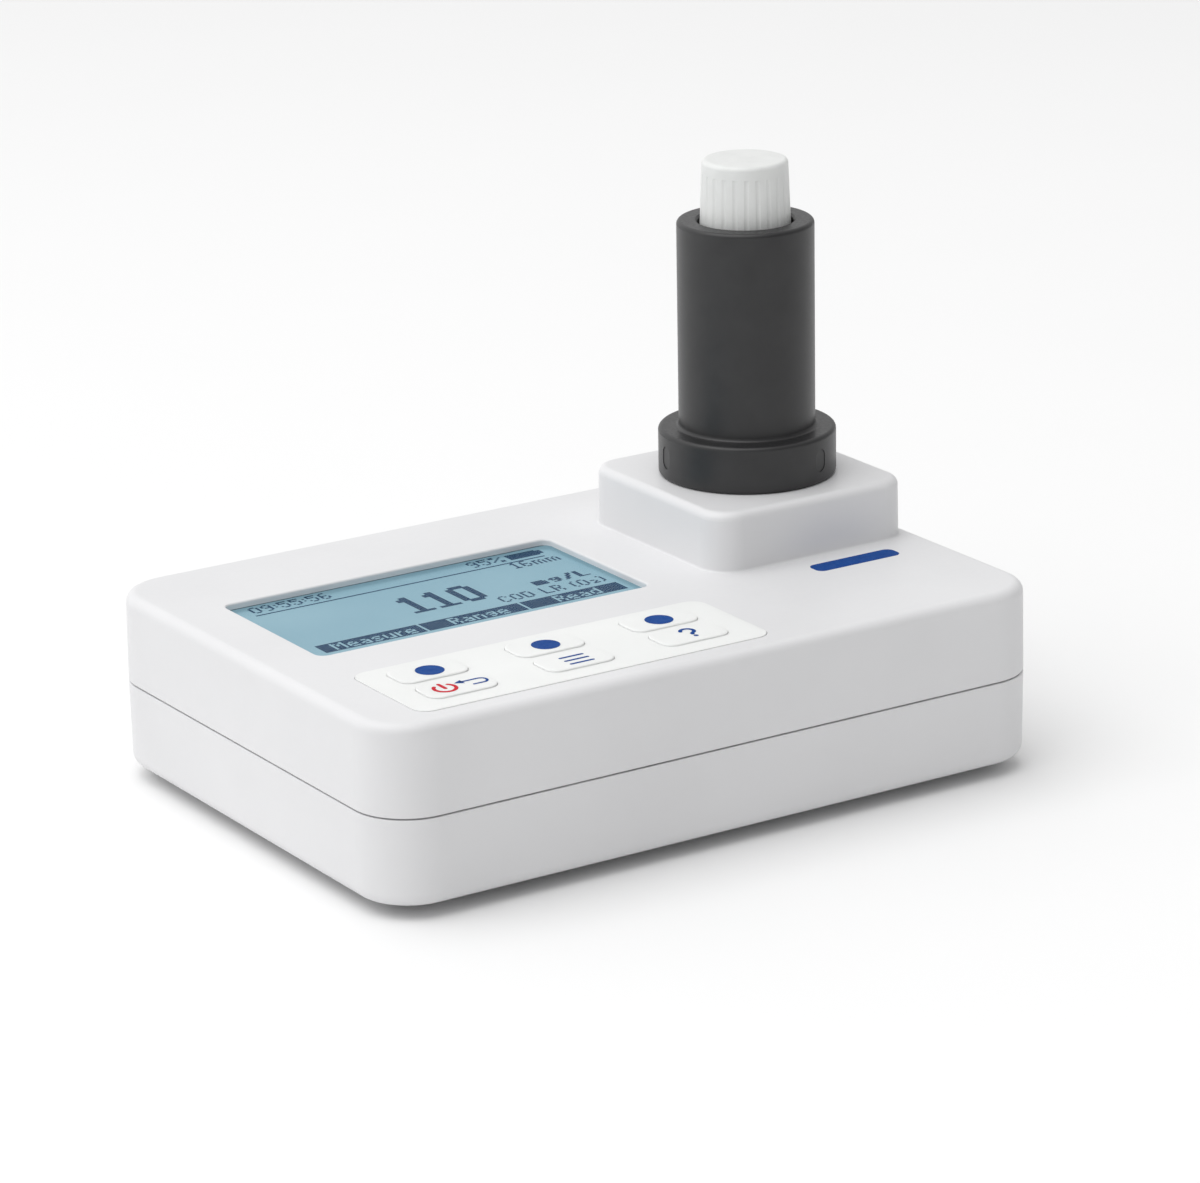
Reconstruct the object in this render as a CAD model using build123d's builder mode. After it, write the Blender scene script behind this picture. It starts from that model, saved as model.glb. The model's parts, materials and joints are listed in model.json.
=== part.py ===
from build123d import *
import math
import os

os.makedirs("parts", exist_ok=True)

# Moulded housing, in millimetres, with its base plane on the table
body_length = 142.5
body_width = 102.5
body_corner = 10.8
lower_height = 16.75
upper_height = 17.0
wall = 2.5
upper_draft = 0.7
lower_draft = 0.5
top_fillet = 2.0
bottom_fillet = 2.4
seam_gap = 0.3
seam_chamfer = 0.15
foot_height = 2.5
foot_radius = 6.0
foot_recess = 0.8
foot_inset_x = 25.25
foot_inset_y = 15.0

# Raised cuvette block at the right of the upper shell
block_inset = 2.55
block_y = 10.6
block_length = 44.4
block_width = 45.2
block_corner = 6.0
block_height = 11.5
block_fillet = 1.6
block_base_fillet = 0.5

# Lip, rebate and seal along the parting line
skin = 1.2
lip_clearance = 0.1
rebate_depth = 2.4
seal_height = 0.8

# Display stack under its window
window_left_margin = 11.95
window_right_gap = 13.0
window_front_gap = 12.3
window_back_margin = 23.9
window_corner = 1.8
window_depth = 1.2
window_edge_fillet = 0.4
lens_thickness = 0.8
frame_margin = 4.4
frame_sheet = 0.3
frame_lap = 2.4
glass_thickness = 2.2
light_thickness = 3.4

# Keypad
keypad_inset = 5.45
keypad_shift = 0.4
mat_overhang = 3.4
mat_width = 24.8
mat_corner = 3.2
mat_rise = 0.15
mat_edge_fillet = 0.12
pocket_depth = 1.5
key_share = 0.574
key_width = 8.0
key_corner = 2.4
key_rise = 0.3
key_edge_fillet = 0.28
key_row_pitch = 9.8
key_end_trim = 0.4
key_row_shift = 0.8
key_column_shift = -0.3
key_travel = 0.8
stem_length = 6.0
stem_width = 3.6
stem_corner = 1.0
key_clearance = 0.1
switch_side = 5.2
switch_height = 1.6
plunger_radius = 1.4
plunger_height = 0.4

# Circuit board
board_left_gap = 6.25
board_right_gap = 3.3
board_front_gap = 5.25
board_corner = 2.0
board_thickness = 1.6
post_inset_x = 12.0
post_inset_y = 2.3
post_room = 1.7
post_radius = 2.6
board_screw_radius = 0.95
board_screw_length = 5.0
board_head_radius = 2.1
board_head_height = 1.3
screw_clearance = 0.1
buzzer_radius = 6.0
buzzer_height = 1.9
buzzer_port_radius = 1.0

# Screws that close the housing from below
boss_inset = 8.95
boss_radius = 3.6
housing_screw_radius = 1.5
housing_screw_length = 21.0
screw_head_radius = 2.75
screw_head_height = 2.0
screw_head_depth = 1.2
screw_slot_radius = 1.4
screw_slot_depth = 1.1

# Battery bay with its round screw-in cover
bay_shift = 1.0
bay_y = 0.0
bay_length = 56.0
bay_wall = 1.6
bay_corner = 3.0
cell_radius = 7.1
cell_length = 49.3
cell_edge_fillet = 0.7
button_radius = 2.6
button_height = 1.0
cell_gap = 1.0
cell_clearance = 0.3
rib_thickness = 0.8
rib_drop = 7.0
contact_side = 11.0
contact_thickness = 0.4
spring_length = 5.4
spring_root_radius = 4.6
spring_tip_radius = 3.2
spring_turns = 4
cover_radius = 27.5
cover_flange_radius = 29.2
cover_flange_thickness = 1.2
cover_recess = 0.3
cover_height = 4.4
cover_clearance = 0.1
collar_wall = 3.0
coin_slot_length = 28.0
coin_slot_width = 2.8
coin_slot_depth = 1.4
coin_slot_backing = 2.2
ring_section = 0.8
ring_clearance = 0.02

# Optical block around the cuvette well
well_radius = 12.3
well_floor_height = 7.5
holder_room = 2.7
holder_corner = 4.0
holder_gap = 0.3
collar_thickness = 1.6
collar_clearance = 0.3
optic_height = 21.5
beam_radius = 3.0
barrel_side = 15.0
barrel_length = 30.0
barrel_bore_radius = 4.5
barrel_end_wall = 2.0
optic_clearance = 0.1
splitter_distance = 6.0
splitter_side = 6.0
splitter_thickness = 0.8
filter_distance = 13.5
filter_thickness = 4.0
lens_distance = 18.5
focus_thickness = 2.4
focus_bulge = 0.9
led_radius = 2.5
led_length = 7.0
led_flange_radius = 2.9
led_flange_thickness = 1.0
detector_radius = 4.2
detector_thickness = 2.6
detector_window_radius = 2.8
detector_window_height = 0.4

# Vial adapter
adapter_fit = 0.1
adapter_floor = 1.5
adapter_tube_radius = 13.05
adapter_flange_radius = 17.0
adapter_flange_height = 9.2
adapter_height = 49.4
adapter_edge_fillet = 0.8
adapter_neck_fillet = 0.7
cap_bore_radius = 9.15
cap_bore_depth = 6.0
vial_clearance = 0.15
index_count = 3
index_angle = 170.5
index_width = 3.0
index_height = 4.4
index_depth = 0.16
beam_window_radius = 3.5

# Round vial with its ribbed screw cap
vial_radius = 8.0
vial_wall = 1.1
vial_bottom_fillet = 2.6
vial_shoulder_fillet = 1.2
neck_radius = 6.7
neck_wall = 1.1
cap_height = 15.5
cap_rise = 11.65
cap_top_radius = 8.15
cap_taper = 2.2
cap_top_thickness = 1.4
cap_thread_clearance = 0.15
cap_top_fillet = 0.9
cap_shoulder_gap = 0.6
liner_thickness = 1.2
liner_radius = 6.6
rib_count = 24
rib_angle = 12.4
rib_groove_radius = 1.0
rib_groove_depth = 0.14
rib_smooth_band = 3.0

# Heights that follow from the sizes above
base_z = foot_height
floor_z = base_z + wall
parting_z = base_z + lower_height
top_z = parting_z + upper_height
ceiling_z = top_z - wall
block_top_z = top_z + block_height
lens_top_z = top_z - window_depth
lens_bottom_z = lens_top_z - lens_thickness
glass_top_z = lens_bottom_z - frame_sheet
glass_bottom_z = glass_top_z - glass_thickness
board_top_z = glass_bottom_z - light_thickness
board_bottom_z = board_top_z - board_thickness
pocket_z = top_z - pocket_depth
key_top_z = top_z + mat_rise + key_rise
switch_top_z = board_top_z + switch_height + plunger_height
optic_z = base_z + optic_height
well_floor_z = base_z + well_floor_height
cover_bottom_z = base_z + cover_recess
cover_seat_z = cover_bottom_z + cover_flange_thickness
cover_top_z = cover_bottom_z + cover_height
cell_z = cover_top_z + cell_clearance + cell_radius
bay_roof_z = cell_z + cell_radius + cell_clearance
bay_width = cell_length + button_height + spring_length + 2 * contact_thickness
adapter_top_z = block_top_z + adapter_height
cap_top_z = adapter_top_z + cap_rise
cap_bottom_z = cap_top_z - cap_height
liner_top_z = cap_top_z - cap_top_thickness
vial_rim_z = liner_top_z - liner_thickness
vial_shoulder_z = cap_bottom_z - cap_shoulder_gap
vial_bottom_z = well_floor_z + holder_gap + adapter_floor + holder_gap

# Plan places that follow from the sizes above
block_x = body_length / 2 - block_inset - block_length / 2
block_left = block_x - block_length / 2
keypad_y = -body_width / 2 + keypad_inset + mat_width / 2
window_left = -body_length / 2 + window_left_margin
window_right = block_left - window_right_gap
window_front = keypad_y + mat_width / 2 + window_front_gap
window_back = body_width / 2 - window_back_margin
window_length = window_right - window_left
window_width = window_back - window_front
display_x = (window_left + window_right) / 2
display_y = (window_front + window_back) / 2
frame_length = window_length + 2 * frame_margin
frame_width = window_width + 2 * frame_margin
keypad_x = display_x + keypad_shift
mat_length = window_length + mat_overhang
key_pitch = (mat_length - 2 * key_end_trim) / 3
key_length = key_pitch * key_share
key_row_x = keypad_x + key_column_shift
key_row_y = keypad_y + key_row_shift
board_left = -body_length / 2 + board_left_gap
board_right = block_left - board_right_gap
board_front = -body_width / 2 + board_front_gap
board_back = window_back + frame_margin + post_room + post_radius + post_inset_y
board_length = board_right - board_left
board_width = board_back - board_front
board_x = (board_left + board_right) / 2
board_y = (board_front + board_back) / 2
bay_x = display_x - bay_shift
cell_pitch = 2 * cell_radius + cell_gap
holder_length = block_length - 2 * (wall + holder_room)
holder_width = block_width - 2 * (wall + holder_room)
base_shrink = lower_height * math.tan(math.radians(lower_draft))
base_length = body_length - 2 * base_shrink
base_width = body_width - 2 * base_shrink
base_corner = body_corner - base_shrink

well_axis = Axis((block_x, block_y, 0), (0, 0, 1))
well_plane = Plane(origin=(block_x, block_y, 0), x_dir=(1, 0, 0), z_dir=(0, -1, 0))
cover_axis = Axis((bay_x, bay_y, 0), (0, 0, 1))
cover_plane = Plane(origin=(bay_x, bay_y, 0), x_dir=(1, 0, 0), z_dir=(0, -1, 0))
barrel_face_y = block_y - holder_width / 2
near = 0.05


def prism(length, width, corner, x, y, z, height, taper=0, mode=Mode.ADD):
    """Adds or cuts an upright block with rounded corners."""
    with BuildSketch(Plane.XY.offset(z)) as outline:
        with Locations((x, y)):
            RectangleRounded(length, width, corner)
    extrude(outline.sketch, amount=height, taper=taper, mode=mode)


def drums(radius, places, z, height, mode=Mode.ADD):
    """Adds or cuts upright round columns at the given places."""
    with BuildSketch(Plane.XY.offset(z)) as outline:
        with Locations(places):
            Circle(radius)
    extrude(outline.sketch, amount=height, mode=mode)


def level_edges(part, z, x, y, length, width):
    """Edges at one height whose middles lie inside a rectangle."""
    return part.edges().filter_by(
        lambda e: abs(e.center().Z - z) < near
        and abs(e.bounding_box().size.Z) < near
        and abs(e.center().X - x) < length / 2 + near
        and abs(e.center().Y - y) < width / 2 + near
    )


def ring_edges(part, radius, z):
    """Full round edges of one radius at one height."""
    return part.edges().filter_by(GeomType.CIRCLE).filter_by(
        lambda e: abs(e.radius - radius) < near and abs(e.arc_center.Z - z) < near
    )


def corners(x, y, centre_x=0, centre_y=0):
    """Four places mirrored about a centre."""
    return [(centre_x + i * x, centre_y + j * y) for i in (-1, 1) for j in (-1, 1)]


key_places = {
    "function_key_left": (key_row_x - key_pitch, key_row_y + key_row_pitch / 2),
    "function_key_middle": (key_row_x, key_row_y + key_row_pitch / 2),
    "function_key_right": (key_row_x + key_pitch, key_row_y + key_row_pitch / 2),
    "power_key": (key_row_x - key_pitch, key_row_y - key_row_pitch / 2),
    "menu_key": (key_row_x, key_row_y - key_row_pitch / 2),
    "help_key": (key_row_x + key_pitch, key_row_y - key_row_pitch / 2),
}
boss_places = corners(body_length / 2 - boss_inset, body_width / 2 - boss_inset)
foot_places = corners(body_length / 2 - foot_inset_x, body_width / 2 - foot_inset_y)
post_places = corners(
    board_length / 2 - post_inset_x, board_width / 2 - post_inset_y, board_x, board_y
)
cell_places = [(bay_x + step * cell_pitch, bay_y) for step in (-1, 0, 1)]

# Upper shell with the raised block, window, keypad pocket and inner posts
with BuildPart() as upper_housing:
    prism(body_length, body_width, body_corner, 0, 0, parting_z, upper_height, upper_draft)
    fillet(upper_housing.faces().sort_by(Axis.Z)[-1].edges(), top_fillet)
    prism(block_length, block_width, block_corner, block_x, block_y, top_z, block_height, upper_draft)
    fillet(upper_housing.faces().sort_by(Axis.Z)[-1].edges(), block_fillet)
    fillet(
        level_edges(upper_housing.part, top_z, block_x, block_y, block_length, block_width),
        block_base_fillet,
    )
    chamfer(upper_housing.faces().sort_by(Axis.Z)[0].edges(), seam_chamfer)
    prism(
        body_length - 2 * wall, body_width - 2 * wall, body_corner - wall,
        0, 0, parting_z, upper_height - wall, upper_draft, Mode.SUBTRACT,
    )
    prism(
        block_length - 2 * wall, block_width - 2 * wall, block_corner - wall,
        block_x, block_y, ceiling_z, block_height, upper_draft, Mode.SUBTRACT,
    )
    prism(
        body_length - 2 * skin, body_width - 2 * skin, body_corner - skin,
        0, 0, parting_z, rebate_depth, mode=Mode.SUBTRACT,
    )
    prism(
        window_length, window_width, window_corner,
        display_x, display_y, ceiling_z, wall, mode=Mode.SUBTRACT,
    )
    fillet(
        level_edges(upper_housing.part, top_z, display_x, display_y, window_length, window_width),
        window_edge_fillet,
    )
    prism(
        frame_length + 2 * lip_clearance, frame_width + 2 * lip_clearance,
        window_corner, display_x, display_y, ceiling_z, lens_top_z - ceiling_z, mode=Mode.SUBTRACT,
    )
    prism(
        mat_length + 2 * lip_clearance, mat_width + 2 * lip_clearance, mat_corner + lip_clearance,
        keypad_x, keypad_y, pocket_z, pocket_depth, mode=Mode.SUBTRACT,
    )
    with BuildSketch(Plane.XY.offset(ceiling_z)):
        with Locations(*key_places.values()):
            RectangleRounded(
                stem_length + 4 * key_clearance, stem_width + 4 * key_clearance, stem_corner
            )
    extrude(amount=wall, mode=Mode.SUBTRACT)
    drums(
        well_radius + collar_thickness + collar_clearance, [(block_x, block_y)],
        block_top_z - wall, wall, Mode.SUBTRACT,
    )
    drums(boss_radius, boss_places, parting_z, ceiling_z - parting_z)
    drums(
        housing_screw_radius + screw_clearance, boss_places,
        parting_z, ceiling_z - parting_z - wall, Mode.SUBTRACT,
    )
    drums(post_radius, post_places, board_top_z, ceiling_z - board_top_z)
    drums(
        board_screw_radius + screw_clearance, post_places,
        board_top_z, board_screw_length - board_thickness + screw_clearance, Mode.SUBTRACT,
    )
upper_housing.part.label = "upper_housing"
export_step(upper_housing.part, "parts/upper_housing.step")

# Lower shell with its lip, screw columns, battery bay and foot recesses
with BuildPart() as lower_housing:
    prism(
        base_length, base_width, base_corner,
        0, 0, base_z, lower_height - seam_gap, -lower_draft,
    )
    fillet(lower_housing.faces().sort_by(Axis.Z)[0].edges(), bottom_fillet)
    chamfer(lower_housing.faces().sort_by(Axis.Z)[-1].edges(), seam_chamfer)
    prism(
        base_length - 2 * wall, base_width - 2 * wall, base_corner - wall,
        0, 0, floor_z, lower_height - wall, -lower_draft, Mode.SUBTRACT,
    )
    lip_step = skin + lip_clearance
    with BuildSketch(Plane.XY.offset(floor_z)):
        RectangleRounded(body_length - 2 * lip_step, body_width - 2 * lip_step, body_corner - lip_step)
        RectangleRounded(
            base_length - 2 * wall, base_width - 2 * wall, base_corner - wall, mode=Mode.SUBTRACT
        )
    extrude(amount=parting_z + rebate_depth - seal_height - floor_z)
    drums(boss_radius, boss_places, floor_z, parting_z - floor_z)
    drums(cover_radius + cover_clearance + collar_wall, [(bay_x, bay_y)], floor_z, cover_top_z - floor_z)
    prism(
        bay_length + 2 * bay_wall, bay_width + 2 * bay_wall, bay_corner + bay_wall,
        bay_x, bay_y, floor_z, bay_roof_z + bay_wall - floor_z,
    )
    prism(
        bay_length, bay_width, bay_corner,
        bay_x, bay_y, cover_top_z, bay_roof_z - cover_top_z, mode=Mode.SUBTRACT,
    )
    with BuildSketch(Plane.XY.offset(bay_roof_z)):
        with Locations((bay_x, bay_y)):
            with GridLocations(cell_pitch, 0, 4, 1):
                Rectangle(rib_thickness, cell_length)
    extrude(amount=-rib_drop)
    drums(cover_radius + cover_clearance, [(bay_x, bay_y)], base_z, cover_top_z - base_z, Mode.SUBTRACT)
    drums(
        cover_flange_radius + cover_clearance, [(bay_x, bay_y)],
        base_z, cover_seat_z - base_z, Mode.SUBTRACT,
    )
    drums(foot_radius, foot_places, base_z, foot_recess, Mode.SUBTRACT)
    drums(
        screw_head_radius + screw_clearance, boss_places,
        base_z, screw_head_depth + screw_head_height, Mode.SUBTRACT,
    )
    drums(
        housing_screw_radius + screw_clearance, boss_places,
        base_z, parting_z - base_z, Mode.SUBTRACT,
    )
lower_housing.part.label = "lower_housing"
export_step(lower_housing.part, "parts/lower_housing.step")

# Rubber cord between the lip and its rebate
with BuildPart() as housing_seal:
    with BuildSketch(Plane.XY.offset(parting_z + rebate_depth - seal_height)):
        RectangleRounded(body_length - 2 * lip_step, body_width - 2 * lip_step, body_corner - lip_step)
        RectangleRounded(
            body_length - 2 * wall, body_width - 2 * wall, body_corner - wall, mode=Mode.SUBTRACT
        )
    extrude(amount=seal_height)
housing_seal.part.label = "housing_seal"
export_step(housing_seal.part, "parts/housing_seal.step")

# Four rubber feet, seated in their recesses
with BuildPart() as rubber_feet:
    drums(foot_radius - lip_clearance, foot_places, 0, foot_height + foot_recess)
    fillet(rubber_feet.edges().group_by(Axis.Z)[0], foot_recess)
rubber_feet.part.label = "rubber_feet"
export_step(rubber_feet.part, "parts/rubber_feet.step")

# Screws that hold the two shells together
with BuildPart() as housing_screws:
    head_z = base_z + screw_head_depth
    drums(screw_head_radius, boss_places, head_z, screw_head_height)
    drums(housing_screw_radius, boss_places, head_z, housing_screw_length)
    with BuildSketch(Plane.XY.offset(head_z)):
        with Locations(*boss_places):
            RegularPolygon(screw_slot_radius, 6)
    extrude(amount=screw_slot_depth, mode=Mode.SUBTRACT)
housing_screws.part.label = "housing_screws"
export_step(housing_screws.part, "parts/housing_screws.step")

# Clear window, bonded under the opening
with BuildPart() as display_window:
    prism(
        frame_length, frame_width, window_corner,
        display_x, display_y, lens_bottom_z, lens_thickness,
    )
display_window.part.label = "display_window"
export_step(display_window.part, "parts/display_window.step")

# Sheet metal frame that holds the display down on the board
with BuildPart() as display_frame:
    prism(
        frame_length, frame_width, window_corner,
        display_x, display_y, board_top_z, lens_bottom_z - board_top_z,
    )
    prism(
        frame_length - 2 * frame_sheet, frame_width - 2 * frame_sheet, window_corner,
        display_x, display_y, board_top_z, glass_top_z - board_top_z, mode=Mode.SUBTRACT,
    )
    prism(
        window_length + 2 * frame_lap, window_width + 2 * frame_lap, window_corner,
        display_x, display_y, glass_top_z, frame_sheet, mode=Mode.SUBTRACT,
    )
display_frame.part.label = "display_frame"
export_step(display_frame.part, "parts/display_frame.step")

# Liquid crystal cell
with BuildPart() as display_glass:
    prism(
        frame_length - 2 * (frame_sheet + lip_clearance),
        frame_width - 2 * (frame_sheet + lip_clearance),
        window_corner, display_x, display_y, glass_bottom_z, glass_thickness,
    )
display_glass.part.label = "display_glass"
export_step(display_glass.part, "parts/display_glass.step")

# Light panel behind the cell
with BuildPart() as display_backlight:
    prism(
        frame_length - 2 * (frame_sheet + lip_clearance),
        frame_width - 2 * (frame_sheet + lip_clearance),
        window_corner, display_x, display_y, board_top_z, light_thickness,
    )
display_backlight.part.label = "display_backlight"
export_step(display_backlight.part, "parts/display_backlight.step")

# Silicone keypad mat, standing a little proud of its pocket
with BuildPart() as keypad_mat:
    prism(
        mat_length, mat_width, mat_corner,
        keypad_x, keypad_y, pocket_z, pocket_depth + mat_rise,
    )
    fillet(keypad_mat.faces().sort_by(Axis.Z)[-1].edges(), mat_edge_fillet)
    with BuildSketch(Plane.XY.offset(pocket_z)):
        with Locations(*key_places.values()):
            RectangleRounded(
                key_length + 2 * key_clearance, key_width + 2 * key_clearance,
                key_corner + key_clearance,
            )
    extrude(amount=pocket_depth + mat_rise, mode=Mode.SUBTRACT)
keypad_mat.part.label = "keypad_mat"
export_step(keypad_mat.part, "parts/keypad_mat.step")

# Six keys, each with a stem that reaches down to its switch
for node, (x, y) in key_places.items():
    with BuildPart() as key:
        key_foot_z = pocket_z + key_travel + key_clearance
        prism(key_length, key_width, key_corner, x, y, key_foot_z, key_top_z - key_foot_z)
        fillet(key.faces().sort_by(Axis.Z)[-1].edges(), key_edge_fillet)
        stem_foot_z = switch_top_z + key_travel + key_clearance
        prism(stem_length, stem_width, stem_corner, x, y, stem_foot_z, key_foot_z - stem_foot_z)
    key.part.label = node
    export_step(key.part, f"parts/{node}.step")

# Short-travel switches under the keys
with BuildPart() as key_switches:
    with BuildSketch(Plane.XY.offset(board_top_z)):
        with Locations(*key_places.values()):
            Rectangle(switch_side, switch_side)
    extrude(amount=switch_height)
    drums(plunger_radius, list(key_places.values()), board_top_z + switch_height, plunger_height)
key_switches.part.label = "key_switches"
export_step(key_switches.part, "parts/key_switches.step")

# Main circuit board, notched around the screw columns
with BuildPart() as main_board:
    prism(
        board_length, board_width, board_corner,
        board_x, board_y, board_bottom_z, board_thickness,
    )
    notch_places = [place for place in boss_places if place[0] < 0]
    drums(boss_radius + 1, notch_places, board_bottom_z, board_thickness, Mode.SUBTRACT)
    drums(
        board_screw_radius + screw_clearance, post_places,
        board_bottom_z, board_thickness, Mode.SUBTRACT,
    )
main_board.part.label = "main_board"
export_step(main_board.part, "parts/main_board.step")

# Screws that hold the board to the posts
with BuildPart() as board_screws:
    drums(board_head_radius, post_places, board_bottom_z - board_head_height, board_head_height)
    drums(board_screw_radius, post_places, board_bottom_z, board_screw_length)
board_screws.part.label = "board_screws"
export_step(board_screws.part, "parts/board_screws.step")

# Sounder on the underside of the board
with BuildPart() as buzzer:
    buzzer_z = board_bottom_z - buzzer_height
    drums(buzzer_radius, [(board_x, board_y)], buzzer_z, buzzer_height)
    drums(buzzer_port_radius, [(board_x, board_y)], buzzer_z, buzzer_height / 2, Mode.SUBTRACT)
buzzer.part.label = "buzzer"
export_step(buzzer.part, "parts/buzzer.step")

# Optical block: cuvette well, collar and the barrel of the light path
with BuildPart() as cuvette_holder:
    holder_top_z = block_top_z - wall - holder_gap
    prism(
        holder_length, holder_width, holder_corner,
        block_x, block_y, floor_z, holder_top_z - floor_z,
    )
    drums(
        well_radius + collar_thickness, [(block_x, block_y)],
        holder_top_z, block_top_z - holder_gap - holder_top_z,
    )
    with BuildSketch(Plane.XZ.offset(-barrel_face_y)):
        with Locations((block_x, optic_z)):
            RectangleRounded(barrel_side, barrel_side, 1)
    extrude(amount=barrel_length)
    drums(
        well_radius, [(block_x, block_y)], well_floor_z, block_top_z - well_floor_z, Mode.SUBTRACT
    )
    with BuildSketch(Plane.XZ.offset(-block_y)):
        with Locations((block_x, optic_z)):
            Circle(barrel_bore_radius)
    extrude(amount=holder_width / 2 + barrel_length - barrel_end_wall, mode=Mode.SUBTRACT)
    with BuildSketch(Plane.XZ.offset(-block_y)):
        with Locations((block_x, optic_z)):
            Circle(led_radius + optic_clearance)
    extrude(amount=holder_width / 2 + barrel_length, mode=Mode.SUBTRACT)
    with BuildSketch(Plane.XZ.offset(-block_y)):
        with Locations((block_x, optic_z)):
            Circle(beam_radius)
    extrude(amount=-holder_width / 2, mode=Mode.SUBTRACT)
    splitter_y = barrel_face_y - splitter_distance
    with BuildSketch(Plane.YZ.offset(block_x)):
        with Locations((splitter_y, optic_z)):
            Circle(beam_radius)
    extrude(amount=-barrel_side / 2, mode=Mode.SUBTRACT)
cuvette_holder.part.label = "cuvette_holder"
export_step(cuvette_holder.part, "parts/cuvette_holder.step")

# Light-emitting diode at the end of the barrel, with its domed nose
barrel_end_y = barrel_face_y - barrel_length
light_plane = Plane(
    origin=(block_x, barrel_end_y - led_flange_thickness, optic_z), x_dir=(1, 0, 0), z_dir=(0, 1, 0)
)
with BuildPart() as light_source:
    with BuildSketch(light_plane):
        Circle(led_flange_radius)
    extrude(amount=led_flange_thickness)
    with BuildSketch(light_plane):
        Circle(led_radius)
    extrude(amount=led_length)
    fillet(light_source.faces().sort_by(Axis.Y)[-1].edges(), led_radius * 0.9)
light_source.part.label = "light_source"
export_step(light_source.part, "parts/light_source.step")

# Plano-convex lens
with BuildPart() as focusing_lens:
    glass_radius = barrel_bore_radius - optic_clearance
    with BuildSketch(Plane.XY.offset(optic_z)):
        with BuildLine():
            start_y = barrel_face_y - lens_distance
            rim = (block_x + glass_radius, start_y - focus_thickness)
            pole = (block_x, start_y - focus_thickness - focus_bulge)
            Line((block_x, start_y), (block_x + glass_radius, start_y))
            Line((block_x + glass_radius, start_y), rim)
            TangentArc(pole, rim, tangent=(1, 0))
            Line(pole, (block_x, start_y))
        make_face()
    revolve(axis=Axis((block_x, start_y, optic_z), (0, 1, 0)))
focusing_lens.part.label = "focusing_lens"
export_step(focusing_lens.part, "parts/focusing_lens.step")

# Narrow-band filter disc
with BuildPart() as interference_filter:
    with BuildSketch(Plane.XZ.offset(-(barrel_face_y - filter_distance + filter_thickness))):
        with Locations((block_x, optic_z)):
            Circle(glass_radius)
    extrude(amount=filter_thickness)
interference_filter.part.label = "interference_filter"
export_step(interference_filter.part, "parts/interference_filter.step")

# Thin plate across the beam at 45 degrees
with BuildPart() as beam_splitter:
    with BuildSketch(Plane.XY.offset(optic_z - splitter_side / 2)):
        with Locations(Location((block_x, splitter_y), 45)):
            Rectangle(splitter_side + 1, splitter_thickness)
    extrude(amount=splitter_side)
beam_splitter.part.label = "beam_splitter"
export_step(beam_splitter.part, "parts/beam_splitter.step")

# Light detectors: one beside the barrel, one behind the well
detector_planes = {
    "reference_detector": Plane(
        origin=(block_x - barrel_side / 2, splitter_y, optic_z), z_dir=(-1, 0, 0)
    ),
    "sample_detector": Plane(
        origin=(block_x, block_y + holder_width / 2, optic_z), z_dir=(0, 1, 0)
    ),
}
for node, plane in detector_planes.items():
    with BuildPart() as detector:
        with BuildSketch(plane):
            Circle(detector_radius)
        extrude(amount=detector_thickness)
        with BuildSketch(plane):
            Circle(detector_window_radius)
        extrude(amount=-detector_window_height)
    detector.part.label = node
    export_step(detector.part, f"parts/{node}.step")

# Contacts at the two ends of the bay, with conical springs
bay_end_y = bay_width / 2
with BuildPart() as contact_plates:
    with BuildSketch(Plane.XZ.offset(-(bay_y + bay_end_y))):
        with Locations(*[(x, cell_z) for x, y in cell_places]):
            Rectangle(contact_side, contact_side)
    extrude(amount=contact_thickness)
    with BuildSketch(Plane.XZ.offset(-(bay_y - bay_end_y + contact_thickness))):
        with Locations(*[(x, cell_z) for x, y in cell_places]):
            Rectangle(contact_side, contact_side)
    extrude(amount=contact_thickness)
contact_plates.part.label = "contact_plates"
export_step(contact_plates.part, "parts/contact_plates.step")


def end_plane(x, side):
    """Plane on the inner face of an end contact, looking into the bay."""
    return Plane(
        origin=(x, bay_y + side * (bay_end_y - contact_thickness), cell_z),
        x_dir=(1, 0, 0), z_dir=(0, -side, 0),
    )


cell_sides = (-1, 1, -1)
with BuildPart() as contact_springs:
    for (x, y), side in zip(cell_places, cell_sides):
        plane = end_plane(x, side)
        turn = spring_length / spring_turns
        for step in range(spring_turns):
            radius = spring_root_radius + (spring_tip_radius - spring_root_radius) * step / (
                spring_turns - 1
            )
            with BuildSketch(plane.offset(step * turn)):
                Circle(radius)
            extrude(amount=turn)
contact_springs.part.label = "contact_springs"
export_step(contact_springs.part, "parts/contact_springs.step")

# Three cells side by side, the middle one the other way round
cell_nodes = ("battery_cell_left", "battery_cell_middle", "battery_cell_right")
for node, (x, y), side in zip(cell_nodes, cell_places, cell_sides):
    with BuildPart() as cell:
        can_plane = end_plane(x, side).offset(spring_length)
        with BuildSketch(can_plane):
            Circle(cell_radius)
        extrude(amount=cell_length)
        fillet(cell.edges().filter_by(GeomType.CIRCLE), cell_edge_fillet)
        with BuildSketch(can_plane.offset(cell_length)):
            Circle(button_radius)
        extrude(amount=button_height)
    cell.part.label = node
    export_step(cell.part, f"parts/{node}.step")

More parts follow.
